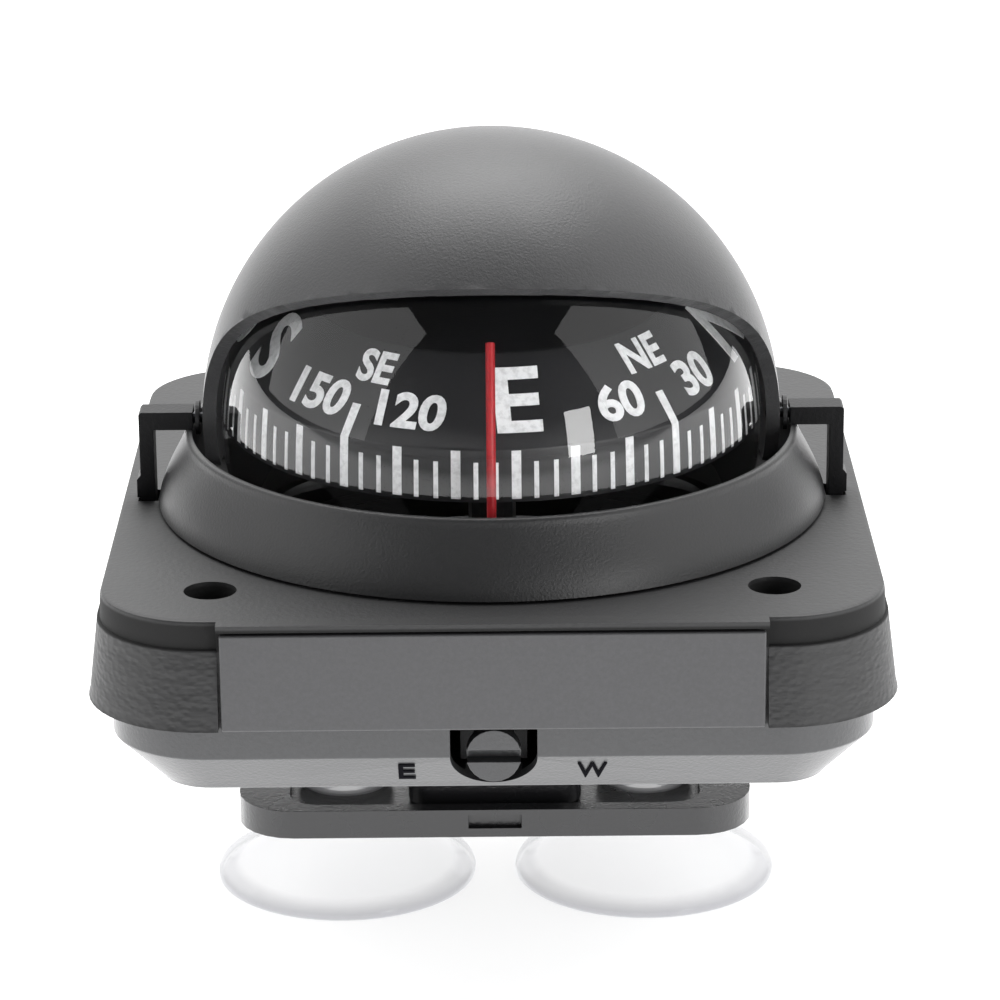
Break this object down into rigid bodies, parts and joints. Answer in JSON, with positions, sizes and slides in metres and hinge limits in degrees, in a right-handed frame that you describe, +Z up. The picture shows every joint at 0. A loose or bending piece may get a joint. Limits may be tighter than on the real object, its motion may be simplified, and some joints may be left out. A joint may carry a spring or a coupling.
{
  "type": "binnacle compass",
  "caption": "Dash-mount marine compass: liquid-filled globe with a domed, turning card and a red lubber line under a tilting hood, in a two-part black housing on a plate with two clear suction cups.",
  "frame": {"origin": "middle of the footprint, on the plane that the two suction cups stand on", "axes": "+Z up, -Y towards the window that the card is read through, +Y away from the reader, +X to the reader's right"},
  "size_m": [0.08, 0.088, 0.0828],
  "materials": {
    "grained_black": "coarse moulded grain, smooth band under the top edge",
    "smooth_grey": "smooth satin plate",
    "tray_grey": "smooth semi-matt moulding",
    "satin_black": "smooth satin",
    "clear_acrylic": "polished clear plastic",
    "deep_black": "matt moulding",
    "black_rubber": "matt rubber",
    "card_black": "matt face with pale figures",
    "lubber_red": "red enamel",
    "jewel_red": "polished stone",
    "white_nylon": "matt moulding",
    "clear_vinyl": "clear soft vinyl",
    "brass": "turned brass",
    "steel": "turned steel",
    "dark_steel": "blackened steel"
  },
  "bodies": {
    "base": {"upper_housing": "grained_black", "front_plate": "smooth_grey", "lower_tray": "tray_grey", "collar": "satin_black", "hood_arm_left": "satin_black", "hood_arm_right": "satin_black", "globe": "clear_acrylic", "bowl": "deep_black", "pedestal": "deep_black", "cup_plate": "deep_black", "front_compensator_bearing": "deep_black", "side_compensator_bearing": "deep_black", "globe_seal": "black_rubber", "diaphragm": "black_rubber", "lubber_line": "lubber_red", "hood_washer_left": "deep_black", "hood_washer_right": "deep_black", "suction_cup_left": "clear_vinyl", "suction_cup_right": "clear_vinyl", "diaphragm_ring": "brass", "filler_plug": "brass", "pivot_post": "deep_black", "pivot_pin": "steel", "hood_pin_left": "dark_steel", "hood_pin_right": "dark_steel", "housing_screw_1": "dark_steel", "housing_screw_2": "dark_steel", "housing_screw_3": "dark_steel", "housing_screw_4": "dark_steel", "bowl_screw_1": "dark_steel", "bowl_screw_2": "dark_steel", "bowl_screw_3": "dark_steel", "bowl_screw_4": "dark_steel", "plate_screw_1": "dark_steel", "plate_screw_2": "dark_steel", "tray_screw_1": "dark_steel", "tray_screw_2": "dark_steel"},
    "hood": {"hood": "satin_black"},
    "card": {"card": "card_black", "card_hub": "white_nylon", "jewel_cup": "jewel_red", "card_magnet_left": "dark_steel", "card_magnet_right": "dark_steel"},
    "front_compensator": {"front_compensator_screw": "tray_grey", "front_compensator_magnet": "dark_steel"},
    "side_compensator": {"side_compensator_screw": "tray_grey", "side_compensator_magnet": "dark_steel"}
  },
  "joints": [
    {"name": "hood_tilt", "type": "hinge", "parent": "base", "child": "hood", "pos_m": [0, -0.004, 0.0528], "axis": [1, 0, 0], "range_deg": [-25, 40]},
    {"name": "card_spin", "type": "hinge", "parent": "base", "child": "card", "pos_m": [0, -0.004, 0.0528], "axis": [0, 0, 1], "continuous": true},
    {"name": "front_compensator_turn", "type": "hinge", "parent": "base", "child": "front_compensator", "pos_m": [0, -0.0418, 0.0295], "axis": [0, 1, 0], "continuous": true},
    {"name": "side_compensator_turn", "type": "hinge", "parent": "base", "child": "side_compensator", "pos_m": [0.0378, 0, 0.0295], "axis": [1, 0, 0], "continuous": true}
  ]
}
